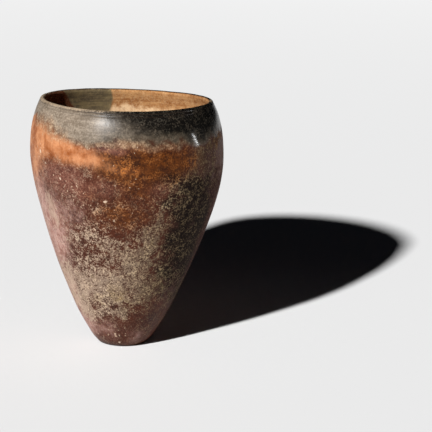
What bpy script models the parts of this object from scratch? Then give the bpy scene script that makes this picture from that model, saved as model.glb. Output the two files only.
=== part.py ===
"""A black-topped redware jar, built up by hand in coils and fired as one piece. Metres, +Z up.

The jar stands on its own small flat foot, and the origin is the middle of that foot.
The side towards -Y is the front. Foot, wall and lip are one body of clay, open at the mouth.
"""

import math

import bmesh
import bpy
import numpy as np

HEIGHT = 0.240
FOOT_RADIUS = 0.021
HEEL_HEIGHT = 0.010
HEEL_CORNER_RADIUS = 0.0255
LIP_THICKNESS = 0.005
WALL_THICKNESS = 0.0055
FOOT_WALL_THICKNESS = 0.0085
THICK_WALL_REACH = 0.050
LIP_TAPER_START = 0.211
FLOOR_THICKNESS = 0.012
FLOOR_CURVE_HEIGHT = 0.026

# Outer radius of the body at each height, from the heel to where the lip starts to round over.
BODY_STATIONS = (
    (0.0100, 0.0318),
    (0.0300, 0.0432),
    (0.0600, 0.0565),
    (0.0950, 0.0704),
    (0.1300, 0.0818),
    (0.1600, 0.0895),
    (0.1870, 0.0924),
    (0.2110, 0.0907),
    (0.2280, 0.0862),
    (0.2375, 0.0820),
)

# How far the middle of the body has wandered to the right of the foot at each height.
CENTRE_LINE = (
    (0.000, 0.0),
    (0.060, 0.0015),
    (0.120, 0.0035),
    (0.155, 0.0041),
    (0.200, 0.0031),
    (0.240, 0.0028),
)

# The rim is not level: it dips to one side, and rises a little at two opposite places.
RIM_DIP = 0.00135
RIM_DIP_TOWARDS = math.radians(41)
RIM_SADDLE = 0.00085
RIM_SADDLE_ALONG = math.radians(-14)
RIM_WAVE_POWER = 4

# Shallow places left by the potter's palm: azimuth from +X, height, reach and depth.
PALM_HOLLOWS = (
    (math.radians(-42), 0.198, 0.022, 0.0007),
    (math.radians(-150), 0.150, 0.034, 0.0008),
    (math.radians(-95), 0.105, 0.036, 0.0006),
    (math.radians(20), 0.120, 0.034, 0.0008),
    (math.radians(75), 0.175, 0.036, 0.0009),
    (math.radians(125), 0.095, 0.034, 0.0007),
    (math.radians(170), 0.205, 0.026, 0.0006),
)

SEGMENTS = 64
HEEL_STEPS = 5
OUTER_STEPS = 24
LIP_STEPS = 6
INNER_STEPS = 16
FLOOR_STEPS = 5
MERGE_DISTANCE = 0.00001

# Fired Nile silt clay, averaged over its red body and black top.
CLAY_COLOUR = (0.20, 0.085, 0.050, 1.0)
CLAY_ROUGHNESS = 0.5


def smooth_curve(stations, heights):
    """The value at each height on a smooth curve through the (height, value) stations."""
    at, value = np.array(stations).T
    slope = np.gradient(value, at)
    span = np.clip(np.searchsorted(at, heights) - 1, 0, len(at) - 2)
    length = at[span + 1] - at[span]
    t = (heights - at[span]) / length
    start = (2 * t**3 - 3 * t**2 + 1) * value[span] + (t**3 - 2 * t**2 + t) * length * slope[span]
    end = (3 * t**2 - 2 * t**3) * value[span + 1] + (t**3 - t**2) * length * slope[span + 1]
    return start + end


def bend(start, corner, end, steps):
    """Points (radius, height) of a quadratic curve that turns from start to end inside a corner."""
    t = np.linspace(0, 1, steps + 1)[:, None]
    return (1 - t) ** 2 * np.array(start) + 2 * t * (1 - t) * np.array(corner) + t**2 * np.array(end)


def wall_thickness(heights):
    """The wall thins upwards from the foot, and again towards the lip."""
    thick = (FOOT_WALL_THICKNESS - WALL_THICKNESS) * np.exp(-heights / THICK_WALL_REACH)
    near_lip = np.clip((heights - LIP_TAPER_START) / (HEIGHT - LIP_TAPER_START), 0, 1)
    return WALL_THICKNESS + thick - (WALL_THICKNESS - LIP_THICKNESS) * near_lip


def body_sides():
    """The outer and the inner side of the wall, as (radius, height) points going up."""
    heights = np.linspace(BODY_STATIONS[0][0], BODY_STATIONS[-1][0], OUTER_STEPS + 1)
    radii = smooth_curve(BODY_STATIONS, heights)
    slope = np.gradient(radii, heights)
    across = wall_thickness(heights) / np.hypot(1, slope)
    outer = np.column_stack([radii, heights])
    inner = np.column_stack([radii - across, heights + across * slope])
    return outer, inner


def lip_points(outside, inside, upwards):
    """The half-round lip, from the top of the outer side over to the top of the inner side."""
    middle = (outside + inside) / 2
    half = (outside - inside) / 2
    along = upwards * np.linalg.norm(half)
    angles = np.linspace(0, math.pi, LIP_STEPS + 1)[1:-1, None]
    return middle + half * np.cos(angles) + along * np.sin(angles)


def jar_profile():
    """The cut through one wall, from the middle of the foot, over the lip, to the inside floor."""
    outer, inner = body_sides()
    heel = bend((FOOT_RADIUS, 0), (HEEL_CORNER_RADIUS, 0), outer[0], HEEL_STEPS)
    upwards = outer[-1] - outer[-2]
    lip = lip_points(outer[-1], inner[-1], upwards / np.linalg.norm(upwards))
    above_floor = inner[inner[:, 1] > FLOOR_CURVE_HEIGHT]
    inner_at = np.linspace(HEIGHT, FLOOR_CURVE_HEIGHT, INNER_STEPS + 1)
    inner_at = inner_at[inner_at < inner[-1, 1]]
    inside = np.column_stack([np.interp(inner_at, inner[:, 1], inner[:, 0]), inner_at])
    floor_slope = np.diff(above_floor[:2, 0])[0] / np.diff(above_floor[:2, 1])[0]
    corner = inside[-1, 0] - floor_slope * (FLOOR_CURVE_HEIGHT - FLOOR_THICKNESS)
    floor = bend(inside[-1], (corner, FLOOR_THICKNESS), (0, FLOOR_THICKNESS), FLOOR_STEPS)
    return np.vstack([[(0, 0)], heel, outer[1:], lip, inner[-1:], inside, floor[1:]])


def rim_lift(azimuth, height):
    """How far the uneven rim is raised; the lift fades out down the body."""
    dip = -RIM_DIP * np.cos(azimuth - RIM_DIP_TOWARDS)
    saddle = RIM_SADDLE * np.cos(2 * (azimuth - RIM_SADDLE_ALONG))
    return (dip + saddle) * (height / HEIGHT) ** RIM_WAVE_POWER


def palm_hollow(azimuth, height, radius):
    """How far the wall is pressed in by the palm hollows near it."""
    depth = np.zeros_like(height)
    for middle, middle_height, reach, deepest in PALM_HOLLOWS:
        turn = (azimuth - middle + math.pi) % (2 * math.pi) - math.pi
        away = np.hypot(turn * radius, height - middle_height) / reach
        depth += deepest * np.exp(-(away**2))
    return depth


def shape_by_hand(points):
    """Takes points of the true turned form to where the hand-built wall has them."""
    radius = np.hypot(points[:, 0], points[:, 1])
    azimuth = np.arctan2(points[:, 1], points[:, 0])
    height = points[:, 2]
    pressed = radius - palm_hollow(azimuth, height, radius) * (height > HEEL_HEIGHT)
    drift = smooth_curve(CENTRE_LINE, height)
    x = pressed * np.cos(azimuth) + drift
    y = pressed * np.sin(azimuth)
    return np.column_stack([x, y, height + rim_lift(azimuth, height)])


def turned_mesh(profile):
    """A closed mesh made by spinning the profile once round the jar's axis."""
    shape = bmesh.new()
    verts = [shape.verts.new((radius, 0, height)) for radius, height in profile]
    edges = [shape.edges.new(pair) for pair in zip(verts, verts[1:])]
    bmesh.ops.spin(
        shape,
        geom=verts + edges,
        axis=(0, 0, 1),
        cent=(0, 0, 0),
        angle=2 * math.pi,
        steps=SEGMENTS,
    )
    bmesh.ops.remove_doubles(shape, verts=shape.verts, dist=MERGE_DISTANCE)
    bmesh.ops.recalc_face_normals(shape, faces=shape.faces)
    mesh = bpy.data.meshes.new("jar")
    shape.to_mesh(mesh)
    shape.free()
    return mesh


def clay():
    """The one material of the part, dark red-brown and half dull."""
    material = bpy.data.materials.new("fired_silt_clay")
    material.use_nodes = True
    shader = material.node_tree.nodes["Principled BSDF"]
    shader.inputs["Base Color"].default_value = CLAY_COLOUR
    shader.inputs["Roughness"].default_value = CLAY_ROUGHNESS
    shader.inputs["Metallic"].default_value = 0.0
    return material


def build_jar():
    """The whole jar as one closed solid, standing on the middle of its foot."""
    mesh = turned_mesh(jar_profile())
    points = np.empty(len(mesh.vertices) * 3, np.float32)
    mesh.vertices.foreach_get("co", points)
    points = shape_by_hand(points.reshape(-1, 3).astype(float))
    mesh.vertices.foreach_set("co", points.astype(np.float32).ravel())
    mesh.shade_smooth()
    mesh.materials.append(clay())
    jar = bpy.data.objects.new("jar", mesh)
    bpy.context.scene.collection.objects.link(jar)


def main():
    """Empties the scene and builds the jar in it."""
    for obj in list(bpy.data.objects):
        bpy.data.objects.remove(obj)
    build_jar()


main()
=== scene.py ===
import math

import bpy
import numpy as np
from mathutils import Matrix, Vector, noise


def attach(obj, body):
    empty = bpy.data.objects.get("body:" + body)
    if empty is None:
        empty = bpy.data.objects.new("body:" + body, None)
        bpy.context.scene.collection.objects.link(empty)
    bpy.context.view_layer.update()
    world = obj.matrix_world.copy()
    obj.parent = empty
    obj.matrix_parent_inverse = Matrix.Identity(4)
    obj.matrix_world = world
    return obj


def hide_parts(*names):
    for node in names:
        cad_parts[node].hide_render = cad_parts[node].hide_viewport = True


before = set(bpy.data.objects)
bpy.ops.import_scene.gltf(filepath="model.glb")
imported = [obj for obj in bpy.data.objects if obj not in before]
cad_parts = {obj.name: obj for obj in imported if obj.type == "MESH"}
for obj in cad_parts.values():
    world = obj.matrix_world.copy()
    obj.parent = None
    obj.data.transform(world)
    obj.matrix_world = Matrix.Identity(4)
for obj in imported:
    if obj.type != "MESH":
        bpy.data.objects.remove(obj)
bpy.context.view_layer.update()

# The jar: silt clay built up in coils on a small flat foot, scraped to an even thickness, left
# with a plain round lip and pressed a little out of true by the palm.
# It is modelled as the cut through one wall, spun round, and then shaped.
HEIGHT = 0.240
FOOT_RADIUS = 0.021
HEEL_CORNER_RADIUS = 0.0255
LIP_THICKNESS = 0.005
WALL_THICKNESS = 0.0055
FOOT_WALL_THICKNESS = 0.0085
THICK_WALL_REACH = 0.050
LIP_TAPER_START = 0.211
FLOOR_THICKNESS = 0.012
FLOOR_CURVE_HEIGHT = 0.026

# Height and outer radius, up the wall.
BODY_STATIONS = (
    (0.0100, 0.0318),
    (0.0300, 0.0432),
    (0.0600, 0.0565),
    (0.0950, 0.0704),
    (0.1300, 0.0818),
    (0.1600, 0.0895),
    (0.1870, 0.0924),
    (0.2110, 0.0907),
    (0.2280, 0.0862),
    (0.2375, 0.0820),
)
HEEL_HEIGHT = BODY_STATIONS[0][0]

# Height and how far the wall's middle has drifted to one side.
CENTRE_LINE = (
    (0.000, 0.0),
    (0.060, 0.0015),
    (0.120, 0.0035),
    (0.155, 0.0041),
    (0.200, 0.0031),
    (0.240, 0.0028),
)
RIM_DIP = 0.00135
RIM_DIP_TOWARDS = math.radians(41)
RIM_SADDLE = 0.00085
RIM_SADDLE_ALONG = math.radians(-14)
RIM_WAVE_POWER = 4

# Azimuth in degrees, height, reach and depth of each hollow.
PALM_HOLLOWS = (
    (-42, 0.198, 0.022, 0.0007),
    (-150, 0.150, 0.034, 0.0008),
    (-95, 0.105, 0.036, 0.0006),
    (20, 0.120, 0.034, 0.0008),
    (75, 0.175, 0.036, 0.0009),
    (125, 0.095, 0.034, 0.0007),
    (170, 0.205, 0.026, 0.0006),
)

SEGMENTS = 384
FOOT_STEPS = 4
HEEL_STEPS = 8
OUTER_STEPS = 160
LIP_STEPS = 10
INNER_STEPS = 58
FLOOR_STEPS = 10
MERGE_DISTANCE = 0.00001


def smooth_curve(stations, places):
    """The value at each place on a smooth curve through the (place, value) stations."""
    at, value = np.array(stations).T
    slope = np.gradient(value, at)
    span = np.clip(np.searchsorted(at, places) - 1, 0, len(at) - 2)
    length = at[span + 1] - at[span]
    t = (places - at[span]) / length
    start = (2 * t**3 - 3 * t**2 + 1) * value[span]
    start += (t**3 - 2 * t**2 + t) * length * slope[span]
    end = (3 * t**2 - 2 * t**3) * value[span + 1]
    end += (t**3 - t**2) * length * slope[span + 1]
    return start + end


def bend(start, corner, end, steps):
    """Points (radius, height) of a quadratic curve from start to end, inside a corner."""
    start, corner, end = np.array(start), np.array(corner), np.array(end)
    t = np.linspace(0, 1, steps + 1)[:, None]
    return (1 - t) ** 2 * start + 2 * t * (1 - t) * corner + t**2 * end


def wall_thickness(heights):
    """The wall thins upwards from the foot, and again towards the lip."""
    thick = (FOOT_WALL_THICKNESS - WALL_THICKNESS) * np.exp(-heights / THICK_WALL_REACH)
    near_lip = np.clip((heights - LIP_TAPER_START) / (HEIGHT - LIP_TAPER_START), 0, 1)
    return WALL_THICKNESS + thick - (WALL_THICKNESS - LIP_THICKNESS) * near_lip


def wall_sides():
    """The outer and the inner side of the wall, as (radius, height) points going up."""
    heights = np.linspace(HEEL_HEIGHT, BODY_STATIONS[-1][0], OUTER_STEPS + 1)
    radii = smooth_curve(BODY_STATIONS, heights)
    slope = np.gradient(radii, heights)
    across = wall_thickness(heights) / np.hypot(1, slope)
    outer = np.column_stack([radii, heights])
    return outer, np.column_stack([radii - across, heights + across * slope])


def lip_round(outside, inside, upwards):
    """The half-round lip, from the top of the outer side over to the top of the inner side."""
    middle = (outside + inside) / 2
    half = (outside - inside) / 2
    along = upwards * np.linalg.norm(half)
    angles = np.linspace(0, math.pi, LIP_STEPS + 1)[1:-1, None]
    return middle + half * np.cos(angles) + along * np.sin(angles)


outer_side, inner_side = wall_sides()
foot_radii = np.linspace(0, FOOT_RADIUS, FOOT_STEPS + 1)
foot = np.column_stack([foot_radii, np.zeros_like(foot_radii)])
heel = bend((FOOT_RADIUS, 0), (HEEL_CORNER_RADIUS, 0), outer_side[0], HEEL_STEPS)
upwards = outer_side[-1] - outer_side[-2]
lip = lip_round(outer_side[-1], inner_side[-1], upwards / np.linalg.norm(upwards))
inner_heights = np.linspace(inner_side[-1, 1], FLOOR_CURVE_HEIGHT, INNER_STEPS + 1)
inner_radii = np.interp(inner_heights, inner_side[:, 1], inner_side[:, 0])
inside_wall = np.column_stack([inner_radii, inner_heights])
last_step = inside_wall[-1] - inside_wall[-2]
steps_to_floor = (inside_wall[-1, 1] - FLOOR_THICKNESS) / -last_step[1]
run_in = inside_wall[-1] + last_step * steps_to_floor
inside_floor = bend(inside_wall[-1], run_in, (0, FLOOR_THICKNESS), FLOOR_STEPS)
profile = np.vstack([foot, heel[1:], outer_side[1:], lip, inside_wall, inside_floor[1:]])
profile_steps = np.diff(profile, axis=0)
step_lengths = np.hypot(profile_steps[:, 0], profile_steps[:, 1])
profile_run = np.concatenate([[0], np.cumsum(step_lengths)])
lip_crest = profile_run[np.argmax(profile[:, 1])]

bpy.ops.object.select_all(action="DESELECT")
bpy.ops.mesh.primitive_plane_add(size=WALL_THICKNESS)
jar = bpy.context.object
jar.name = "burnished_jar"
jar.data.name = "burnished_jar"


def keep_field(name, values):
    """Stores one number for each point of the jar."""
    stored = jar.data.attributes.new(name, "FLOAT", "POINT")
    stored.data.foreach_set("value", values.astype(np.float32))


bpy.ops.object.mode_set(mode="EDIT")
bpy.ops.mesh.select_all(action="SELECT")
bpy.ops.mesh.merge(type="CENTER")
for across, up in profile_steps:
    bpy.ops.mesh.extrude_region_move(TRANSFORM_OT_translate={"value": (across, 0, up)})
bpy.ops.object.mode_set(mode="OBJECT")

# Each point of the profile knows how far along it lies, from the foot's middle over the lip
# to the middle of the inside floor, so that a spun point still knows its side of the wall.
keep_field("run", profile_run)
bpy.ops.object.mode_set(mode="EDIT")
bpy.ops.mesh.select_all(action="SELECT")
bpy.ops.mesh.spin(steps=SEGMENTS, angle=2 * math.pi, center=(0, 0, 0), axis=(0, 0, 1))
bpy.ops.mesh.select_all(action="SELECT")
bpy.ops.mesh.remove_doubles(threshold=MERGE_DISTANCE)
bpy.ops.mesh.normals_make_consistent(inside=False)
bpy.ops.object.mode_set(mode="OBJECT")


def read_vectors(mesh, name):
    """The positions ("co") or the directions ("normal") of all points of a mesh, one row each."""
    values = np.empty(len(mesh.vertices) * 3, np.float32)
    mesh.vertices.foreach_get(name, values)
    return values.reshape(-1, 3).astype(float)


def write_points(mesh, points):
    """Moves all points of a mesh to new positions, one row each."""
    mesh.vertices.foreach_set("co", points.astype(np.float32).ravel())
    mesh.update()


turned = read_vectors(jar.data, "co")
run = np.empty(len(turned), np.float32)
jar.data.attributes["run"].data.foreach_get("value", run)
radius = np.hypot(turned[:, 0], turned[:, 1])
azimuth = np.arctan2(turned[:, 1], turned[:, 0])
height = turned[:, 2]
from_lip = run - lip_crest
outside = from_lip < 0
inside = ~outside


def rim_lift():
    """How far the uneven rim is raised; the lift fades out down the body."""
    dip = -RIM_DIP * np.cos(azimuth - RIM_DIP_TOWARDS)
    saddle = RIM_SADDLE * np.cos(2 * (azimuth - RIM_SADDLE_ALONG))
    return (dip + saddle) * (height / HEIGHT) ** RIM_WAVE_POWER


def away_from(middle, middle_height, turns=azimuth, heights=height):
    """How far round, as an angle, and how far up every point lies from one place on the wall."""
    turn = (turns - math.radians(middle) + math.pi) % (2 * math.pi) - math.pi
    return turn, heights - middle_height


def palm_depth():
    """How far the wall is pressed in by the palm hollows near it."""
    depth = np.zeros_like(height)
    for middle, middle_height, reach, deepest in PALM_HOLLOWS:
        turn, up = away_from(middle, middle_height)
        depth += deepest * np.exp(-(np.hypot(turn * radius, up) / reach) ** 2)
    return depth * (height > HEEL_HEIGHT)


pressed = radius - palm_depth()
drift = smooth_curve(CENTRE_LINE, height)
shaped = np.column_stack(
    [pressed * np.cos(azimuth) + drift, pressed * np.sin(azimuth), height + rim_lift()]
)
write_points(jar.data, shaped)
jar.data.shade_smooth()

# What the fire, the ground and hands have left on the clay, with some painted light and shade, as
# soft patches on the wall. Each is the azimuth and the height of its middle, its half width in
# degrees, half height and strength.
# The tables of pairs go round the jar: an azimuth in degrees, and the height or strength there.
WANDER_SEED = 213
WANDER_SIZE = 0.017
WANDER_TURN = math.radians(4.5)
WANDER_RISE = 0.0045
RAGGED_SIZE = 0.008
RAGGED_DETAIL = 3
RAGGED_FALL = 0.9
RAGGED_STEP = 2.0
SOOT_BORDER = (
    (-180, 0.2250),
    (-165, 0.2270),
    (-156, 0.2245),
    (-139, 0.2190),
    (-128, 0.2145),
    (-119, 0.2120),
    (-110, 0.2105),
    (-100, 0.2120),
    (-85, 0.2120),
    (-70, 0.2110),
    (-60, 0.2095),
    (-50, 0.2065),
    (-42, 0.2060),
    (-34, 0.2090),
    (-26, 0.2115),
    (-16, 0.2160),
    (0, 0.2180),
    (20, 0.2140),
    (45, 0.2090),
    (75, 0.2130),
    (100, 0.2060),
    (125, 0.2110),
    (150, 0.2180),
    (180, 0.2250),
)
SOOT_FADE = 0.013
SOOT_RAGGED = 0.0030
SOOT_OVER_LIP = 0.0016
HAZE_FADE = 0.008
DUST_PATCHES = (
    (-170, 0.230, 25, 0.022, 0.9),
    (-143, 0.230, 16, 0.020, 0.9),
    (-126, 0.228, 12, 0.020, 0.75),
    (-112, 0.226, 12, 0.020, 0.66),
    (-94, 0.222, 11, 0.016, 0.45),
    (-80, 0.217, 14, 0.010, 0.25),
    (-60, 0.213, 14, 0.004, 0.25),
    (-38, 0.208, 8, 0.004, 0.3),
    (20, 0.220, 16, 0.010, 0.4),
    (110, 0.214, 20, 0.010, 0.4),
    (160, 0.225, 18, 0.014, 0.7),
)
DUST_EDGE = -103.5
DUST_EDGE_FADE = 2.0
DUST_PAST_EDGE = 0.75
FRINGE_PATCHES = (
    (-157, 0.2230, 9, 0.0065, 0.75),
    (-144, 0.2190, 8, 0.0065, 0.85),
    (-132, 0.2145, 7, 0.0055, 0.7),
    (-121, 0.2110, 7, 0.0035, 0.6),
    (-106, 0.2105, 8, 0.0030, 0.8),
    (-90, 0.2100, 10, 0.0034, 0.8),
    (-74, 0.2092, 10, 0.0034, 0.6),
    (-60, 0.2072, 8, 0.0032, 0.5),
    (-44, 0.2030, 8, 0.0040, 0.4),
    (40, 0.2060, 14, 0.0050, 0.7),
    (100, 0.2035, 14, 0.0050, 0.7),
)
FLAME_PATCHES = (
    (-174, 0.209, 14, 0.019, 1.0),
    (-156, 0.208, 13, 0.017, 1.0),
    (-141, 0.206, 12, 0.014, 0.9),
    (-128, 0.203, 11, 0.012, 0.9),
    (-117, 0.200, 9, 0.010, 0.8),
    (-108, 0.196, 6, 0.008, 0.5),
    (-100, 0.191, 7, 0.008, 0.3),
    (-88, 0.187, 8, 0.006, 0.30),
    (-160, 0.178, 10, 0.014, 0.55),
    (-174, 0.176, 12, 0.026, 0.7),
    (8, 0.200, 16, 0.012, 0.6),
    (38, 0.194, 14, 0.011, 0.8),
    (92, 0.191, 16, 0.012, 0.8),
    (150, 0.204, 16, 0.013, 0.9),
)
EMBER_PATCHES = (
    (-102, 0.192, 8, 0.012, 1.0),
    (-90, 0.191, 12, 0.018, 0.95),
    (-75, 0.193, 12, 0.018, 0.95),
    (-62, 0.192, 10, 0.014, 0.95),
    (-50, 0.195, 8, 0.010, 0.5),
    (-95, 0.145, 18, 0.014, 0.6),
    (-112, 0.165, 9, 0.008, 0.5),
    (-84, 0.168, 12, 0.008, 0.5),
    (-18, 0.203, 12, 0.012, 0.4),
    (64, 0.198, 14, 0.010, 0.8),
    (122, 0.197, 16, 0.011, 0.85),
    (60, 0.150, 20, 0.016, 0.4),
)
# The two plum patches at the right edge tint the painted shade there reddish.
PLUM_PATCHES = (
    (-142, 0.180, 12, 0.012, 0.9),
    (-126, 0.176, 12, 0.014, 0.85),
    (-116, 0.163, 12, 0.014, 0.5),
    (-118, 0.2085, 10, 0.0035, 0.5),
    (-98, 0.2055, 11, 0.0035, 0.75),
    (-101, 0.170, 12, 0.010, 0.5),
    (-72, 0.168, 10, 0.012, 0.5),
    (-18, 0.110, 13, 0.080, 1.0),
    (-24, 0.170, 12, 0.030, 0.8),
    (30, 0.165, 20, 0.014, 0.7),
    (70, 0.172, 16, 0.012, 0.6),
    (125, 0.168, 20, 0.014, 0.7),
)
# Pale rose clay. On the left side, toward the lamp, the pale rose is partly a painted sheen,
# standing for the burnish catching light at the edge.
ROSE_AND_SHEEN_PATCHES = (
    (-172, 0.120, 15, 0.060, 0.95),
    (-158, 0.130, 9, 0.050, 0.85),
    (-152, 0.055, 12, 0.018, 0.8),
    (-148, 0.105, 11, 0.024, 0.75),
    (-142, 0.135, 9, 0.020, 0.6),
    (-133, 0.140, 14, 0.035, 0.25),
    (-124, 0.142, 9, 0.014, 0.2),
    (-170, 0.045, 18, 0.040, 0.9),
    (-150, 0.024, 20, 0.016, 0.7),
    (-112, 0.020, 20, 0.012, 0.35),
    (-68, 0.012, 12, 0.009, 0.4),
    (140, 0.120, 20, 0.040, 0.6),
)
# Smoke clouds. On the right side, away from the lamp, the darkness is partly real smoke and
# partly painted shade.
SMOKE_AND_SHADE_PATCHES = (
    (-52, 0.142, 10, 0.028, 1.0),
    (-54, 0.167, 8, 0.010, 0.8),
    (-44, 0.166, 7, 0.010, 0.6),
    (-64, 0.179, 12, 0.007, 0.5),
    (-58, 0.115, 8, 0.012, 0.8),
    (-46, 0.100, 11, 0.022, 0.75),
    (-58, 0.082, 9, 0.011, 0.85),
    (-36, 0.128, 10, 0.036, 0.85),
    (-22, 0.100, 16, 0.045, 0.8),
    (-24, 0.165, 16, 0.030, 0.6),
    (-66, 0.156, 5, 0.007, 0.7),
    (-12, 0.060, 24, 0.045, 0.65),
    (-45, 0.070, 8, 0.014, 0.35),
    (48, 0.085, 20, 0.030, 0.5),
    (96, 0.130, 18, 0.026, 0.75),
)
CRUST_PATCHES = (
    (-166, 0.072, 14, 0.022, 0.7),
    (-148, 0.070, 12, 0.022, 0.95),
    (-152, 0.048, 14, 0.018, 1.0),
    (-137, 0.038, 12, 0.012, 0.9),
    (-130, 0.070, 12, 0.023, 1.0),
    (-112, 0.070, 12, 0.024, 1.0),
    (-95, 0.070, 11, 0.025, 0.95),
    (-80, 0.070, 10, 0.026, 0.9),
    (-66, 0.066, 9, 0.022, 0.75),
    (-54, 0.060, 8, 0.016, 0.5),
    (-84, 0.096, 12, 0.013, 0.62),
    (-75, 0.115, 8, 0.018, 0.82),
    (-71, 0.138, 8, 0.014, 0.64),
    (-65, 0.153, 8, 0.009, 0.25),
    (-60, 0.169, 7, 0.007, 0.5),
    (-50, 0.184, 8, 0.010, 0.55),
    (-43, 0.197, 10, 0.011, 0.8),
    (-34, 0.180, 9, 0.016, 0.45),
    (-26, 0.206, 10, 0.012, 0.7),
    (-112, 0.124, 12, 0.012, 0.52),
    (-98, 0.116, 11, 0.009, 0.50),
    (-130, 0.120, 12, 0.014, 0.45),
    (-108, 0.148, 7, 0.004, 0.6),
    (-90, 0.192, 9, 0.010, 0.5),
    (-112, 0.040, 14, 0.008, 0.7),
    (-94, 0.039, 10, 0.006, 0.65),
    (-100, 0.150, 40, 0.050, 0.24),
    (-60, 0.175, 26, 0.030, 0.14),
    (-50, 0.090, 20, 0.030, 0.28),
    (-100, 0.100, 45, 0.012, 0.35),
    (-20, 0.062, 12, 0.016, 0.5),
    (15, 0.075, 18, 0.022, 0.9),
    (45, 0.060, 16, 0.018, 0.7),
    (85, 0.075, 18, 0.024, 0.9),
    (125, 0.065, 16, 0.022, 0.8),
    (155, 0.078, 14, 0.022, 0.8),
    (60, 0.130, 10, 0.012, 0.5),
    (150, 0.150, 12, 0.014, 0.4),
)
CRUST_PALENESS = (
    (-180, 1.0),
    (-150, 1.0),
    (-138, 0.85),
    (-125, 0.78),
    (-100, 0.5),
    (-80, 0.25),
    (-55, 0.0),
    (0, 0.1),
    (60, 0.4),
    (120, 0.7),
    (180, 1.0),
)
SPECK_PATCHES = (
    (-130, 0.165, 26, 0.025, 0.7),
    (-152, 0.196, 10, 0.010, 1.0),
    (-110, 0.125, 18, 0.018, 0.8),
    (-100, 0.155, 30, 0.025, 0.5),
    (-100, 0.016, 40, 0.014, 1.0),
    (60, 0.160, 60, 0.040, 0.4),
)
CHIP_PATCHES = (
    (-102, 0.1590, 1.1, 0.0016, 1.0),
    (-130, 0.1770, 0.9, 0.0014, 1.0),
    (-151, 0.1960, 1.2, 0.0022, 1.0),
    (-146, 0.1880, 0.8, 0.0012, 0.9),
    (-121, 0.1480, 0.8, 0.0012, 0.9),
    (-111, 0.2070, 0.8, 0.0010, 0.9),
    (-95, 0.0065, 2.6, 0.0012, 1.0),
    (-88, 0.1710, 0.8, 0.0012, 0.8),
    (35, 0.1500, 1.0, 0.0015, 0.9),
    (110, 0.1750, 1.1, 0.0014, 0.9),
)
STREAK_PATCHES = (
    (-145, 0.143, 8, 0.024, 1.0),
    (-168, 0.120, 14, 0.050, 0.7),
    (160, 0.140, 9, 0.024, 0.6),
)
OLIVE_INSIDE_PATCHES = (
    (108, 0.230, 16, 0.040, 1.0),
    (126, 0.230, 12, 0.040, 1.0),
    (140, 0.234, 10, 0.020, 1.0),
    (-150, 0.210, 26, 0.035, 0.8),
)
OLIVE_EDGE = 101
OLIVE_EDGE_FADE = 5
# The painted shadow inside the mouth: a dark wedge on the inner wall that stands for the lip's
# shadow. Its edge slopes with height and fades out further round.
INSIDE_SHADOW_EDGE = 129.2
INSIDE_SHADOW_HEIGHT = 0.2206
INSIDE_SHADOW_SLOPE = 760
INSIDE_SHADOW_FADE = 3
INSIDE_SHADOW_END = 230
INSIDE_SHADOW_END_FADE = 20
DEEP_INSIDE_TOP = 0.200
DEEP_INSIDE_FADE = 0.060
OCHRE_PATCHES = (
    (-102, 0.0660, 8, 0.0080, 0.4),
    (-118, 0.052, 12, 0.014, 0.4),
    (-92, 0.060, 10, 0.014, 0.4),
    (-80, 0.045, 10, 0.010, 0.4),
    (130, 0.060, 16, 0.014, 0.6),
)
CALM_PATCHES = (
    (-18, 0.110, 14, 0.080, 0.7),
    (-172, 0.120, 20, 0.100, 0.25),
    (-150, 0.110, 20, 0.060, 0.2),
    (-145, 0.070, 18, 0.030, 0.5),
    (-135, 0.178, 20, 0.016, 0.6),
    (-116, 0.172, 14, 0.012, 0.4),
    (-150, 0.014, 40, 0.014, 0.6),
    (-90, 0.012, 40, 0.014, 0.65),
    (-62, 0.193, 22, 0.014, 0.7),
    (100, 0.190, 50, 0.020, 0.4),
    (60, 0.012, 80, 0.014, 0.8),
)
POLISH_PATCHES = (
    (-47, 0.2130, 8, 0.0130, 1.0),
    (-108, 0.2310, 9, 0.0060, 0.22),
)
CREAM_INSIDE_PATCHES = (
    (98, 0.214, 5, 0.006, 1.0),
    (90, 0.214, 8, 0.006, 1.0),
    (80, 0.214, 10, 0.006, 0.9),
    (64, 0.216, 12, 0.006, 0.7),
    (127, 0.2206, 3, 0.0045, 0.4),
    (132, 0.2275, 3, 0.0045, 0.4),
    (137, 0.2340, 3, 0.0045, 0.3),
    (45, 0.190, 20, 0.016, 0.5),
    (-60, 0.180, 30, 0.030, 0.4),
)
# How pale the lip is worn round the jar. The pale spot near -5 degrees, on the inner lip at the
# right, is a painted highlight.
LIP_WEAR_AND_HIGHLIGHT = (
    (-180, 0.85),
    (-150, 1.0),
    (-125, 0.95),
    (-110, 0.6),
    (-96, 0.3),
    (-80, 0.12),
    (-50, 0.05),
    (-20, 0.1),
    (-12, 0.2),
    (-5, 0.8),
    (3, 0.1),
    (20, 0.05),
    (60, 0.1),
    (100, 0.15),
    (140, 0.3),
    (180, 0.85),
)
LIP_LINE = (
    (-180, 0.5),
    (-130, 0.6),
    (-110, 1.0),
    (-70, 1.0),
    (-45, 0.8),
    (-30, 0.15),
    (20, 0.15),
    (90, 0.5),
    (180, 0.5),
)
LIP_WEAR_REACH = 0.0030
LIP_WEAR_REACH_INSIDE = 0.0014
LIP_EDGE_FADE = 0.0012


def noise_at(points, kind=noise.noise):
    """Smooth noise, from about -1 to 1, at points given in units of its size."""
    return np.array([kind(Vector(point)) for point in points])


def ragged_at(points):
    """Rough noise at points given in units of its coarsest size."""
    kind = noise.fractal
    return np.array([kind(Vector(at), RAGGED_FALL, RAGGED_STEP, RAGGED_DETAIL) for at in points])


noise.seed_set(WANDER_SEED)
wander = noise_at(shaped / WANDER_SIZE, noise.noise_vector)
ragged = ragged_at(shaped / RAGGED_SIZE)
wandered_azimuth = azimuth + wander[:, 0] * WANDER_TURN
wandered_height = height + wander[:, 1] * WANDER_RISE


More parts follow.
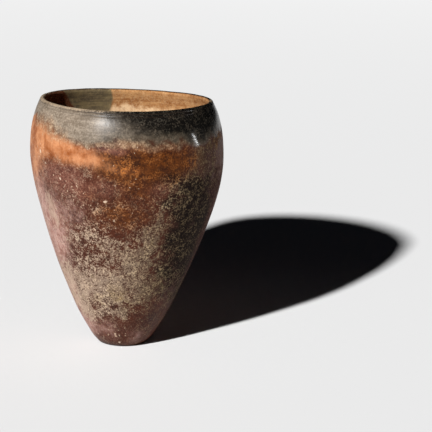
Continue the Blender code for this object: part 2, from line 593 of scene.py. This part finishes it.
def patches(places):
    """One soft field, from 0 to 1, where all the patches in places run together."""
    untouched = np.ones_like(height)
    for middle, middle_height, half_turn, half_height, strength in places:
        turn, up = away_from(middle, middle_height, wandered_azimuth, wandered_height)
        spread = np.hypot(turn / math.radians(half_turn), up / half_height)
        untouched *= 1 - strength * np.exp(-(spread**2))
    return 1 - untouched


def past(edge, at, fade):
    """0 before an edge, 1 past it, and an even fade from one to the other across it."""
    return np.clip((at - edge) / fade + 0.5, 0, 1)


degrees = np.degrees(azimuth)
wandered_degrees = np.degrees(wandered_azimuth)
above_border = wandered_height + ragged * SOOT_RAGGED - smooth_curve(SOOT_BORDER, degrees)
over_the_lip = past(SOOT_OVER_LIP, from_lip, LIP_EDGE_FADE)
past_dust_edge = past(DUST_EDGE, wandered_degrees, DUST_EDGE_FADE)
past_olive_edge = past(OLIVE_EDGE, wandered_degrees % 360, OLIVE_EDGE_FADE)
# A painted shadow: the dark wedge where the lip's shadow falls on the inner wall.
inside_shadow_turn = INSIDE_SHADOW_EDGE + (wandered_height - INSIDE_SHADOW_HEIGHT) * INSIDE_SHADOW_SLOPE
painted_shadow = past(inside_shadow_turn, degrees % 360, INSIDE_SHADOW_FADE)
painted_shadow *= np.clip((INSIDE_SHADOW_END - degrees % 360) / INSIDE_SHADOW_END_FADE, 0, 1)
dust = patches(DUST_PATCHES) * (1 - past_dust_edge * (1 - DUST_PAST_EDGE))
crust = patches(CRUST_PATCHES) * outside
wear_reach = np.where(outside, LIP_WEAR_REACH, LIP_WEAR_REACH_INSIDE)
lip_wear_and_highlight = smooth_curve(LIP_WEAR_AND_HIGHLIGHT, degrees) * np.exp(-((from_lip / wear_reach) ** 2))
keep_field("soot", np.where(outside, past(0, above_border, SOOT_FADE), 1 - over_the_lip))
keep_field("haze", np.exp(-((above_border / HAZE_FADE) ** 2)) * outside)
keep_field("dust", dust * outside)
keep_field("crust", crust)
keep_field("crust_paleness", smooth_curve(CRUST_PALENESS, degrees))
for name, places in (
    ("fringe", FRINGE_PATCHES),
    ("bright_flame", FLAME_PATCHES),
    ("burnt_flame", EMBER_PATCHES),
    ("plum", PLUM_PATCHES),
    ("rose_and_sheen", ROSE_AND_SHEEN_PATCHES),
    ("smoke_and_shade", SMOKE_AND_SHADE_PATCHES),
    ("specks", SPECK_PATCHES),
    ("chips", CHIP_PATCHES),
    ("streak", STREAK_PATCHES),
    ("ochre", OCHRE_PATCHES),
    ("calm", CALM_PATCHES),
    ("polish", POLISH_PATCHES),
):
    keep_field(name, patches(places) * outside)
keep_field("inside", over_the_lip)
keep_field("olive_inside", patches(OLIVE_INSIDE_PATCHES) * past_olive_edge * inside)
keep_field("cream_inside", patches(CREAM_INSIDE_PATCHES) * inside)
keep_field("painted_inside_shadow", painted_shadow * inside)
keep_field("deep", np.clip((DEEP_INSIDE_TOP - height) / DEEP_INSIDE_FADE, 0, 1) * inside)
keep_field("from_lip", from_lip)
keep_field("lip_wear_and_highlight", lip_wear_and_highlight)
keep_field("lip_line", smooth_curve(LIP_LINE, degrees) * outside)

# The relief that can be felt: faint coil joints, the strokes of the burnishing pebble, the wet
# hand's wiping inside, the crust's thickness, a slight wave along the lip, and small dents.
COIL_SIZE = (0.060, 0.060, 0.015)
COIL_DEPTH = 0.00016
STROKE_SIZE = (0.0045, 0.0045, 0.040)
STROKE_DEPTH = 0.00005
WIPE_SIZE = (0.040, 0.040, 0.0035)
WIPE_DEPTH = 0.00020
CRUST_LUMP_SIZE = 0.0045
CRUST_LUMP_SHARE = 0.5
CRUST_DEPTH = 0.00032
LIP_WAVE_SIZE = 0.013
LIP_WAVE_DEPTH = 0.00020

# Azimuth in degrees, height, reach and depth of each dent.
DENTS = (
    (-58, 0.2100, 0.0035, 0.00020),
    (-100, 0.2240, 0.0120, 0.00050),
    (-102, 0.1580, 0.0022, 0.00035),
    (-127, 0.1745, 0.0020, 0.00035),
    (-155, 0.1970, 0.0030, 0.00040),
    (-68, 0.0800, 0.0030, 0.00040),
    (-95, 0.1180, 0.0060, 0.00030),
    (-84, 0.0060, 0.0022, 0.00040),
    (30, 0.1400, 0.0040, 0.00040),
    (110, 0.2000, 0.0050, 0.00045),
    (165, 0.0900, 0.0035, 0.00040),
)

outwards = read_vectors(jar.data, "normal")
lumps = ragged_at(shaped / CRUST_LUMP_SIZE)
by_the_lip = np.exp(-((from_lip / LIP_WEAR_REACH) ** 2))
raised = COIL_DEPTH * noise_at(shaped / COIL_SIZE)
raised += STROKE_DEPTH * noise_at(shaped / STROKE_SIZE) * outside
raised += WIPE_DEPTH * noise_at(shaped / WIPE_SIZE) * inside
raised += CRUST_DEPTH * np.clip(crust + CRUST_LUMP_SHARE * lumps, 0, 1) * crust
raised += LIP_WAVE_DEPTH * noise_at(shaped / LIP_WAVE_SIZE) * by_the_lip
for middle, middle_height, reach, deepest in DENTS:
    turn, up = away_from(middle, middle_height)
    raised -= deepest * np.exp(-(np.hypot(turn * radius, up) / reach) ** 2) * outside
off_the_foot = np.clip(height / HEEL_HEIGHT, 0, 1)
raised *= np.where(outside, off_the_foot, 1)
write_points(jar.data, shaped + outwards * raised[:, None])

# The finish: burnished red clay with the fire's colours over it, then the black top, and over
# all of it the dust, the crust and the wear. Sizes are metres of the object, colours run from
# 0 to 255, and the plain numbers between them say how much of one thing is mixed into another.
CLAY_TONES = ((42, 15, 6), (70, 31, 15))
CLAY_LIGHT = (104, 52, 30)
ROSE_AND_SHEEN_TONES = ((160, 108, 92), (198, 160, 148))
EMBER_TONES = ((44, 18, 1), (100, 50, 6))
PLUM_TONES = ((80, 42, 32), (134, 88, 72))
FLAME_TONES = ((138, 70, 22), (206, 142, 98))
SMOKE_AND_SHADE_TONES = ((10, 4, 2), (40, 8, 10))
SOOT_TONES = ((17, 16, 14), (60, 52, 42))
SOOT_GRAIN = (92, 87, 78)
SCRATCH = (106, 100, 88)
DUST_TONES = ((114, 100, 85), (150, 136, 120))
FRINGE_TONES = ((128, 96, 72), (196, 168, 136))
CRUST_TONES = ((82, 68, 52), (184, 162, 142))
CRUST_OLIVE = (104, 92, 64)
CRUST_OCHRE = (156, 134, 76)
CRUST_ON_EMBER = (146, 86, 38)
PALE_TONES = ((152, 130, 98), (202, 178, 154))
PALE_ON_EMBER = (180, 114, 58)
PIT_IN_CLAY = (30, 13, 7)
PIT_IN_CRUST_TONES = ((58, 38, 26), (84, 62, 48))
STREAK = (176, 150, 130)
SPECK = (200, 172, 146)
CHIP = (206, 182, 158)
INSIDE_TONES = ((130, 82, 42), (170, 126, 82))
INSIDE_OLIVE_TONES = ((76, 66, 50), (108, 94, 66))
PAINTED_INSIDE_SHADOW = (82, 40, 16)
INSIDE_CREAM = (210, 178, 140)
INSIDE_PALE_GRAIN = (206, 176, 138)
INSIDE_DARK_GRAIN = (76, 48, 28)
INSIDE_DEEP = (84, 50, 32)
WORN_AND_HIGHLIT_LIP = (172, 150, 124)
GROOVE_SHADE = (40, 30, 22)

MOTTLE_SIZE = 0.022
PATCH_SIZE = 0.0085
SPECKLE_SIZE = 0.0036
FINE_SIZE = 0.0015
OTHER_FINE_SIZE = 0.0016
STROKE_GRAIN = 0.0022
STROKE_STRETCH = (1, 1, 14)
WISP_SIZE = 0.0050
WISP_STRETCH = (1, 1, 2.5)
WIPE_GRAIN = 0.0024
WIPE_STRETCH = (12, 12, 1)
DENSE_SIZE = 0.013
LARGE_SPECK_SIZE = 0.0052
SMALL_SPECK_SIZE = 0.0025
SCRATCH_AREA_SIZE = 0.016

# Size, half width and shift of each kind of thread.
PALE_THREADS = ((0.0040, 0.055, 2.2), (0.0028, 0.070, 9.4))
DARK_THREADS = ((0.0036, 0.055, 14.2), (0.0026, 0.070, 17.9))
SCRATCH_THREADS = (0.0080, 0.022, 41.0)
THREAD_GAP_RATIO = 2.2
THREAD_GAP_SHIFT = 20

# Distance below the lip's crest and half width of the two grooves, and of the painted shade on
# their upper walls.
UPPER_GROOVE = (0.0046, 0.0011)
LOWER_GROOVE = (0.0075, 0.0008)
UPPER_GROOVE_SHADE = (0.0040, 0.0009)
LOWER_GROOVE_SHADE = (0.0068, 0.0008)
GROOVE_WAVER = 0.0012

CLAY_ROUGHNESS = 0.55
SMOKE_AND_SHADE_ROUGHNESS = 0.90
CRUST_ROUGHNESS = 0.95
SOOT_ROUGHNESS = 0.23
DUST_ROUGHNESS = 0.44
POLISH_ROUGHNESS = 0.08
INSIDE_ROUGHNESS = 0.95
SHINE = 0.15
BUMP_DISTANCE = 0.0004
BUMP_STRENGTH = 0.8

clay = bpy.data.materials.new("burnished_redware")
clay.use_nodes = True
tree = clay.node_tree
shader = tree.nodes["Principled BSDF"]
place = tree.nodes.new("ShaderNodeTexCoord").outputs["Object"]


def plug(socket, value):
    """Gives a socket either a plain value or the output of another node."""
    if isinstance(value, bpy.types.NodeSocket):
        tree.links.new(value, socket)
    else:
        socket.default_value = value


def colour(red, green, blue):
    """A colour given from 0 to 255, turned into the shader's own scale."""
    screen = np.array([red, green, blue]) / 255
    linear = np.where(screen <= 0.04045, screen / 12.92, ((screen + 0.055) / 1.055) ** 2.4)
    return (*linear.tolist(), 1)


def field(name):
    """A field that was stored for each point of the jar."""
    node = tree.nodes.new("ShaderNodeAttribute")
    node.attribute_name = name
    return node.outputs["Fac"]


def sums(operation, first, second=0.0, third=0.0):
    """One step of arithmetic."""
    node = tree.nodes.new("ShaderNodeMath")
    node.operation = operation
    plug(node.inputs[0], first)
    plug(node.inputs[1], second)
    plug(node.inputs[2], third)
    return node.outputs[0]


def times(first, second):
    """Two values or outputs multiplied."""
    return sums("MULTIPLY", first, second)


def plus(first, second):
    """Two values or outputs added."""
    return sums("ADD", first, second)


def less(first, second):
    """The second value or output taken away from the first."""
    return sums("SUBTRACT", first, second)


def grain(size, detail=2.0, roughness=0.55, stretch=(1, 1, 1), shift=0.0):
    """Noise around zero, with features of the given size in metres."""
    moved = tree.nodes.new("ShaderNodeMapping")
    moved.inputs["Location"].default_value = (shift, shift, shift)
    moved.inputs["Scale"].default_value = [1 / (size * along) for along in stretch]
    tree.links.new(place, moved.inputs["Vector"])
    node = tree.nodes.new("ShaderNodeTexNoise")
    node.inputs["Scale"].default_value = 1.0
    node.inputs["Detail"].default_value = detail
    node.inputs["Roughness"].default_value = roughness
    tree.links.new(moved.outputs["Vector"], node.inputs["Vector"])
    return less(node.outputs["Fac"], 0.5)


def ease(value, low, high):
    """0 below low, 1 above high, and a soft step between."""
    node = tree.nodes.new("ShaderNodeMapRange")
    node.interpolation_type = "SMOOTHSTEP"
    plug(node.inputs["Value"], value)
    plug(node.inputs["From Min"], low)
    plug(node.inputs["From Max"], high)
    return node.outputs["Result"]


def threads(size, width, shift):
    """Thin curling lines, 1 along them and 0 between, that break off here and there."""
    line = ease(sums("ABSOLUTE", grain(size, 1.0, 0.5, shift=shift)), width, 0.0)
    gaps = grain(size * THREAD_GAP_RATIO, 1.0, 0.5, shift=shift + THREAD_GAP_SHIFT)
    return times(line, ease(gaps, -0.06, 0.10))


def tangle(kinds):
    """Two kinds of threads laid together."""
    coarse, thin = kinds
    return plus(times(threads(*coarse), 0.6), times(threads(*thin), 0.6))


def grains(noise_value, thread_value):
    """Fine grains, 1 on them and 0 between, that here and there run along threads."""
    return ease(plus(times(noise_value, 0.8), times(thread_value, 0.40)), 0.02, 0.24)


def over(under, top, mask):
    """The colour top laid over the colour under, where the mask is 1."""
    node = tree.nodes.new("ShaderNodeMix")
    node.data_type = "RGBA"
    plug(node.inputs["Factor"], mask)
    plug(node.inputs["A"], under)
    plug(node.inputs["B"], top)
    return node.outputs["Result"]


def between(tones, mask):
    """The first of two tones where the mask is 0, and the second where it is 1."""
    return over(colour(*tones[0]), colour(*tones[1]), mask)


def blend(under, top, mask):
    """The same as over, for plain numbers such as roughness."""
    node = tree.nodes.new("ShaderNodeMix")
    plug(node.inputs["Factor"], mask)
    plug(node.inputs["A"], under)
    plug(node.inputs["B"], top)
    return node.outputs["Result"]


def mask_of(name, noise_value, amount, low, high):
    """Where a field, roughened by noise, is above a soft threshold."""
    return ease(plus(field(name), times(noise_value, amount)), low, high)


# The grain of clay, dust and crust. Each noise has its own shift, so that no two line up.
mottle = grain(MOTTLE_SIZE, 4.0, 0.6)
patchy = grain(PATCH_SIZE, 5.0, 0.62, shift=3.1)
speckle = grain(SPECKLE_SIZE, 3.0, 0.6, shift=7.7)
broken = plus(patchy, times(speckle, 0.7))
fine = grain(FINE_SIZE, 1.5, 0.55, shift=1.9)
other_fine = grain(OTHER_FINE_SIZE, 1.5, 0.55, shift=23.0)
strokes = grain(STROKE_GRAIN, 3.0, 0.6, stretch=STROKE_STRETCH, shift=5.3)
wisps = grain(WISP_SIZE, 4.0, 0.65, stretch=WISP_STRETCH, shift=11.0)
wipes = grain(WIPE_GRAIN, 3.0, 0.6, stretch=WIPE_STRETCH, shift=47.0)
pale_threads = tangle(PALE_THREADS)
pale_grain = grains(fine, pale_threads)
dark_grain = grains(other_fine, tangle(DARK_THREADS))
dense = ease(plus(patchy, times(grain(DENSE_SIZE, 3.0, 0.6, shift=53.0), 1.2)), -0.25, 0.25)

# Bare clay, and what the fire made of it: rose, burnt flame, plum, bright flame and smoke. The
# rose at the left side is partly a painted sheen, and the smoke on the right partly painted
# shade.
tone = plus(times(mottle, 1.5), plus(times(patchy, 0.9), times(fine, 1.4)))
base = between(CLAY_TONES, ease(tone, -0.7, 0.0))
base = over(base, colour(*CLAY_LIGHT), ease(tone, 0.0, 0.75))
# Pale rose, partly a painted sheen along the left side.
rose_and_sheen_tone = between(ROSE_AND_SHEEN_TONES, ease(plus(broken, times(strokes, 0.8)), -0.3, 0.25))
base = over(base, rose_and_sheen_tone, times(mask_of("rose_and_sheen", broken, 0.6, 0.0, 1.0), 0.90))
ember_tone = between(EMBER_TONES, ease(plus(times(broken, 0.9), times(fine, 0.5)), -0.30, 0.30))
ember_mask = mask_of("burnt_flame", broken, 0.7, 0.05, 0.85)
base = over(base, ember_tone, times(ember_mask, 0.95))
plum_tone = between(PLUM_TONES, ease(plus(times(broken, 0.5), fine), -0.35, 0.40))
base = over(base, plum_tone, times(mask_of("plum", broken, 0.4, 0.12, 0.90), 0.9))
flame_noise = plus(times(mottle, 1.2), plus(times(patchy, 0.7), times(strokes, 0.15)))
flame_mask = mask_of("bright_flame", broken, 0.42, 0.05, 0.85)
base = over(base, between(FLAME_TONES, ease(flame_noise, -0.30, 0.30)), times(flame_mask, 0.92))
# Smoke and painted shade: near black, and reddish where the plum field tints the shade at the
# right edge.
smoke_and_shade_tone = between(SMOKE_AND_SHADE_TONES, mask_of("plum", patchy, 0.5, 0.4, 1.0))
smoke_and_shade_mask = mask_of("smoke_and_shade", broken, 1.1, 0.06, 0.82)
base = over(base, smoke_and_shade_tone, times(smoke_and_shade_mask, 0.94))

# The black top with its browner border, fine scratches, dust, and the pale fringe below it.
soot_tone = between(SOOT_TONES, mask_of("haze", broken, 0.9, 0.1, 1.0))
soot_tone = over(soot_tone, colour(*SOOT_GRAIN), times(pale_grain, 0.24))
scratched_area = ease(grain(SCRATCH_AREA_SIZE, 1.0, shift=61.0), 0.00, 0.10)
scratches = times(threads(*SCRATCH_THREADS), scratched_area)
soot_tone = over(soot_tone, colour(*SCRATCH), times(scratches, 0.35))
soot_mask = mask_of("soot", broken, 0.5, 0.20, 0.80)
base = over(base, soot_tone, soot_mask)
dust_tone = between(DUST_TONES, ease(plus(times(broken, 0.6), plus(fine, wipes)), -0.3, 0.3))
dust_mask = times(mask_of("dust", broken, 0.30, 0.0, 0.95), soot_mask)
base = over(base, dust_tone, dust_mask)
fringe_tone = between(FRINGE_TONES, ease(plus(speckle, fine), -0.1, 0.35))
base = over(base, fringe_tone, times(mask_of("fringe", broken, 1.0, 0.10, 1.0), 0.75))

# The crust that the ground left: a thin broken coat, pale on the left, darker towards the right
# front, and paler again round the back.
crust_paleness = field("crust_paleness")
crust_body = mask_of("crust", plus(times(patchy, 1.2), times(wisps, 0.9)), 1.0, 0.10, 1.05)
crust_tone = between(CRUST_TONES, crust_paleness)
olive_amount = times(ease(plus(patchy, wisps), 0.05, 0.35), 0.6)
crust_tone = over(crust_tone, colour(*CRUST_OLIVE), olive_amount)
crust_tone = over(crust_tone, colour(*CRUST_OCHRE), mask_of("ochre", broken, 0.8, 0.2, 1.0))
crust_tone = over(crust_tone, colour(*CRUST_ON_EMBER), ember_mask)
crust_fine = plus(times(fine, 1.8), plus(times(speckle, 0.9), times(pale_threads, 0.3)))
crust_mask = ease(plus(crust_body, plus(crust_fine, times(dark_grain, -0.4))), 0.23, 0.77)
crust_mask = times(crust_mask, ease(crust_body, 0.0, 0.5))
base = over(base, crust_tone, times(crust_mask, plus(0.50, times(dense, 0.26))))

# Pale grains and dark pits, most of all in the crust, and few where the wall is calm.
calm = sums("MAXIMUM", times(flame_mask, 0.75), field("calm"))
bare = less(1.0, sums("MAXIMUM", times(soot_mask, 0.85), calm))
pale_tone = over(between(PALE_TONES, crust_paleness), colour(*PALE_ON_EMBER), ember_mask)
pale_amount = times(plus(times(crust_body, 0.64), plus(0.12, times(dense, 0.32))), bare)
pale_amount = plus(pale_amount, times(smoke_and_shade_mask, 0.08))
base = over(base, pale_tone, times(pale_grain, pale_amount))
pit_in_crust = between(PIT_IN_CRUST_TONES, times(crust_paleness, crust_body))
pit_tone = over(colour(*PIT_IN_CLAY), pit_in_crust, crust_body)
pit_amount = times(bare, less(1.0, times(ember_mask, 0.4)))
pit_amount = times(plus(times(crust_body, 0.30), 0.50), pit_amount)
base = over(base, pit_tone, times(dark_grain, pit_amount))

# Streaks, specks of lime, and chips down to the pale body of the clay.
streak_mask = mask_of("streak", strokes, 2.2, 0.5, 0.95)
base = over(base, colour(*STREAK), times(streak_mask, 0.6))
speck_field = plus(times(field("specks"), 0.135), times(soot_mask, -0.2))
large_specks = plus(grain(LARGE_SPECK_SIZE, 1.5, 0.7, shift=31.0), speck_field)
small_specks = plus(grain(SMALL_SPECK_SIZE, 1.0, 0.7, shift=37.0), speck_field)
speck_mask = sums("MAXIMUM", ease(large_specks, 0.30, 0.36), ease(small_specks, 0.26, 0.33))
base = over(base, colour(*SPECK), times(speck_mask, 0.7))
base = over(base, colour(*CHIP), times(mask_of("chips", fine, 0.8, 0.35, 0.65), 0.8))

# The inside: wiped tan clay, smoked olive in places, a painted shadow of the lip as a dark brown
# wedge at the left, and dark deep down.
inside_tone = between(INSIDE_TONES, ease(plus(plus(broken, mottle), wipes), -0.35, 0.35))
olive_tone = between(INSIDE_OLIVE_TONES, ease(plus(patchy, times(wipes, 1.5)), -0.3, 0.3))
olive_mask = mask_of("olive_inside", patchy, 0.4, 0.25, 0.75)
inside_tone = over(inside_tone, olive_tone, olive_mask)
# The lip's painted shadow, dark brown, on the inner wall at the left.
painted_shadow_mask = mask_of("painted_inside_shadow", patchy, 0.3, 0.2, 0.8)
inside_tone = over(inside_tone, colour(*PAINTED_INSIDE_SHADOW), painted_shadow_mask)
cream_mask = mask_of("cream_inside", broken, 1.2, 0.2, 1.0)
inside_tone = over(inside_tone, colour(*INSIDE_CREAM), times(cream_mask, 0.8))
grain_amount = less(1.0, times(field("olive_inside"), 0.7))
pale_inside = times(pale_grain, times(grain_amount, 0.20))
inside_tone = over(inside_tone, colour(*INSIDE_PALE_GRAIN), pale_inside)
dark_inside = times(dark_grain, times(grain_amount, 0.26))
inside_tone = over(inside_tone, colour(*INSIDE_DARK_GRAIN), dark_inside)
inside_tone = over(inside_tone, colour(*INSIDE_DEEP), times(field("deep"), 0.8))
base = over(base, inside_tone, field("inside"))


def ring(distance, half_width):
    """A line drawn round the jar at a distance below the lip's crest, a little unsteady."""
    off = plus(plus(field("from_lip"), distance), times(mottle, GROOVE_WAVER))
    return ease(sums("ABSOLUTE", off), half_width, 0.0)


# The lip: worn pale along its crest, with a painted highlight on the inner lip at the right, and
# two shallow grooves just below it with painted shade on their upper walls.
wear_and_highlight_mask = mask_of("lip_wear_and_highlight", plus(broken, times(fine, 2.0)), 0.8, 0.1, 0.9)
wear_and_highlight_mask = times(wear_and_highlight_mask, ease(field("lip_wear_and_highlight"), 0.0, 0.3))
base = over(base, colour(*WORN_AND_HIGHLIT_LIP), times(wear_and_highlight_mask, 0.9))
lip_line = field("lip_line")
groove = times(plus(ring(*UPPER_GROOVE), times(ring(*LOWER_GROOVE), 0.5)), lip_line)
# Painted shade: dark lines on the upper walls of the grooves under the lip.
groove_shade = plus(times(ring(*UPPER_GROOVE_SHADE), 0.85), times(ring(*LOWER_GROOVE_SHADE), 0.55))
base = over(base, colour(*GROOVE_SHADE), times(groove_shade, lip_line))
plug(shader.inputs["Base Color"], base)

# How smooth each of them is: the burnished black shines, and the smoke with its painted shade,
# the crust and the inside are dull.
polish = field("polish")
rough = blend(CLAY_ROUGHNESS, SMOKE_AND_SHADE_ROUGHNESS, smoke_and_shade_mask)
rough = plus(blend(rough, CRUST_ROUGHNESS, crust_mask), times(broken, 0.2))
rough = blend(rough, plus(SOOT_ROUGHNESS, times(broken, 0.10)), ease(soot_mask, 0.1, 0.6))
rough = blend(rough, DUST_ROUGHNESS, dust_mask)
rough = blend(rough, POLISH_ROUGHNESS, times(polish, soot_mask))
rough = blend(rough, INSIDE_ROUGHNESS, field("inside"))
plug(shader.inputs["Roughness"], rough)
shader.inputs["Specular IOR Level"].default_value = SHINE

# The finest relief: the clay's tooth, the crust's grain, burnishing strokes and the grooves.
bump_height = times(plus(times(fine, 0.35), times(speckle, 0.5)), plus(crust_mask, 0.25))
bump_height = plus(bump_height, plus(times(crust_mask, 0.3), times(strokes, 0.12)))
bump_height = times(bump_height, less(1.0, times(polish, 0.8)))
bump_height = less(bump_height, groove)
bump = tree.nodes.new("ShaderNodeBump")
bump.inputs["Distance"].default_value = BUMP_DISTANCE
bump.inputs["Strength"].default_value = BUMP_STRENGTH
plug(bump.inputs["Height"], bump_height)
plug(shader.inputs["Normal"], bump.outputs["Normal"])
jar.data.materials.append(clay)
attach(jar, "root")
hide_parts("jar")

# The floor: one wide sheet of plain pale paper that the jar stands on, a hair below the foot,
# so that the two never lie in one plane.
FLOOR_SIZE = 24
FLOOR_PLACE = (0, 4, -0.0002)
FLOOR_COLOUR = (0.64, 0.64, 0.64, 1)
FLOOR_ROUGHNESS = 0.9
bpy.ops.mesh.primitive_plane_add(size=FLOOR_SIZE, location=FLOOR_PLACE)
floor = bpy.context.object
floor.name = "studio_floor"
paper = bpy.data.materials.new("pale_floor")
paper.use_nodes = True
paper_shader = paper.node_tree.nodes["Principled BSDF"]
paper_shader.inputs["Base Color"].default_value = FLOOR_COLOUR
paper_shader.inputs["Roughness"].default_value = FLOOR_ROUGHNESS
floor.data.materials.append(paper)

# The main light: one small bright lamp at the front left. Its strength grows with the cube of
# the distance, so the whole floor is evenly bright and the shadow still spreads.
KEY_AZIMUTH = math.radians(-119)
KEY_ELEVATION = math.radians(33.5)
KEY_DISTANCE = 0.90
KEY_AIM = Vector((0, 0, 0.12))
KEY_POWER = 82.5
KEY_RADIUS = 0.020
KEY_GROWTH = 3


def direction(azimuth_angle, elevation_angle):
    """The unit vector that points from the jar to a light."""
    return Vector(
        (
            math.cos(azimuth_angle) * math.cos(elevation_angle),
            math.sin(azimuth_angle) * math.cos(elevation_angle),
            math.sin(elevation_angle),
        )
    )


key_place = KEY_AIM + direction(KEY_AZIMUTH, KEY_ELEVATION) * KEY_DISTANCE
bpy.ops.object.light_add(type="POINT", location=key_place)
key = bpy.context.object
key.name = "key_light"
key.data.energy = KEY_POWER
key.data.shadow_soft_size = KEY_RADIUS
key.data.use_nodes = True
lamp = key.data.node_tree
growth = lamp.nodes.new("ShaderNodeMath")
growth.operation = "POWER"
growth.inputs[1].default_value = KEY_GROWTH
lamp.links.new(lamp.nodes.new("ShaderNodeLightPath").outputs["Ray Length"], growth.inputs[0])
lamp.links.new(growth.outputs[0], lamp.nodes["Emission"].inputs["Strength"])

# The back light: a wide soft lamp behind the jar, for its far side. It lights the jar alone, so
# the floor keeps its one shadow, and it leaves no reflection on the lip.
BACK_AZIMUTH = math.radians(94)
BACK_ELEVATION = math.radians(18)
BACK_DISTANCE = 1.5
BACK_SIZE = 0.8
BACK_POWER = 12
bpy.ops.object.light_add(type="AREA")
back = bpy.context.object
back.name = "back_light"
back.data.size = BACK_SIZE
back.data.energy = BACK_POWER
back.visible_camera = False
back.visible_glossy = False
jar_alone = bpy.data.collections.new("jar_alone")
jar_alone.objects.link(jar)
back.light_linking.receiver_collection = jar_alone
to_back = direction(BACK_AZIMUTH, BACK_ELEVATION)
back_turn = to_back.to_track_quat("Z", "Y").to_matrix().to_4x4()
back.matrix_world = Matrix.Translation(KEY_AIM + to_back * BACK_DISTANCE) @ back_turn

# The glint: a weak narrow strip at the right that shows as one bright streak in the burnish.
# Its two ends are an azimuth and an elevation each, in degrees, seen from the shoulder.
GLINT_HIGH_END = (-7, 7.5)
GLINT_LOW_END = (4, -1.5)
GLINT_DISTANCE = 1.2
GLINT_AIM = Vector((0, 0, 0.2))
GLINT_WIDTH = 0.009
GLINT_POWER = 0.028
GLINT_SPREAD = math.radians(30)
high_end = GLINT_AIM + direction(*np.radians(GLINT_HIGH_END)) * GLINT_DISTANCE
low_end = GLINT_AIM + direction(*np.radians(GLINT_LOW_END)) * GLINT_DISTANCE
middle = (high_end + low_end) / 2
along = (high_end - low_end).normalized()
away = (middle - GLINT_AIM).normalized()
bpy.ops.object.light_add(type="AREA")
glint = bpy.context.object
glint.name = "glint_light"
glint.data.shape = "RECTANGLE"
glint.data.size = GLINT_WIDTH
glint.data.size_y = (high_end - low_end).length
glint.data.energy = GLINT_POWER
glint.data.spread = GLINT_SPREAD
glint_turn = Matrix((along.cross(away), along, away)).transposed().to_4x4()
glint.matrix_world = Matrix.Translation(middle) @ glint_turn

# The room: a very dim bluish light from all round, and a pale backdrop that only the camera
# sees behind the floor.
FILL_COLOUR = (0.70, 0.78, 1, 1)
FILL_STRENGTH = 0.006
BACKDROP_COLOUR = (0.84, 0.84, 0.84, 1)
world = bpy.data.worlds.new("studio")
bpy.context.scene.world = world
world.use_nodes = True
room = world.node_tree
fill = room.nodes["Background"]
fill.inputs["Color"].default_value = FILL_COLOUR
fill.inputs["Strength"].default_value = FILL_STRENGTH
backdrop = room.nodes.new("ShaderNodeBackground")
backdrop.inputs["Color"].default_value = BACKDROP_COLOUR
seen = room.nodes.new("ShaderNodeMixShader")
camera_ray = room.nodes.new("ShaderNodeLightPath").outputs["Is Camera Ray"]
room.links.new(camera_ray, seen.inputs["Fac"])
room.links.new(fill.outputs["Background"], seen.inputs[1])
room.links.new(backdrop.outputs["Background"], seen.inputs[2])
room.links.new(seen.outputs["Shader"], room.nodes["World Output"].inputs["Surface"])

# The camera, at the photograph's own distance, height and slight tilt. Its focal length is
# measured in the photograph's pixels and turned into millimetres.
CAMERA_PLACE = (0, -1.3, 0.4305)
CAMERA_YAW = math.radians(3.954)
CAMERA_PITCH = math.radians(13.194)
CAMERA_ROLL = math.radians(1.20)
PHOTO_SIDE = 432
FOCAL_PIXELS = 1376.1
SENSOR_WIDTH = 36.0
bpy.ops.object.camera_add()
camera = bpy.context.object
camera.name = "camera"
camera.data.sensor_width = SENSOR_WIDTH
camera.data.lens = SENSOR_WIDTH * FOCAL_PIXELS / PHOTO_SIDE
camera.matrix_world = (
    Matrix.Translation(CAMERA_PLACE)
    @ Matrix.Rotation(-CAMERA_YAW, 4, "Z")
    @ Matrix.Rotation(math.pi / 2 - CAMERA_PITCH, 4, "X")
    @ Matrix.Rotation(CAMERA_ROLL, 4, "Z")
)
bpy.context.scene.camera = camera
bpy.context.scene.view_settings.view_transform = "Standard"
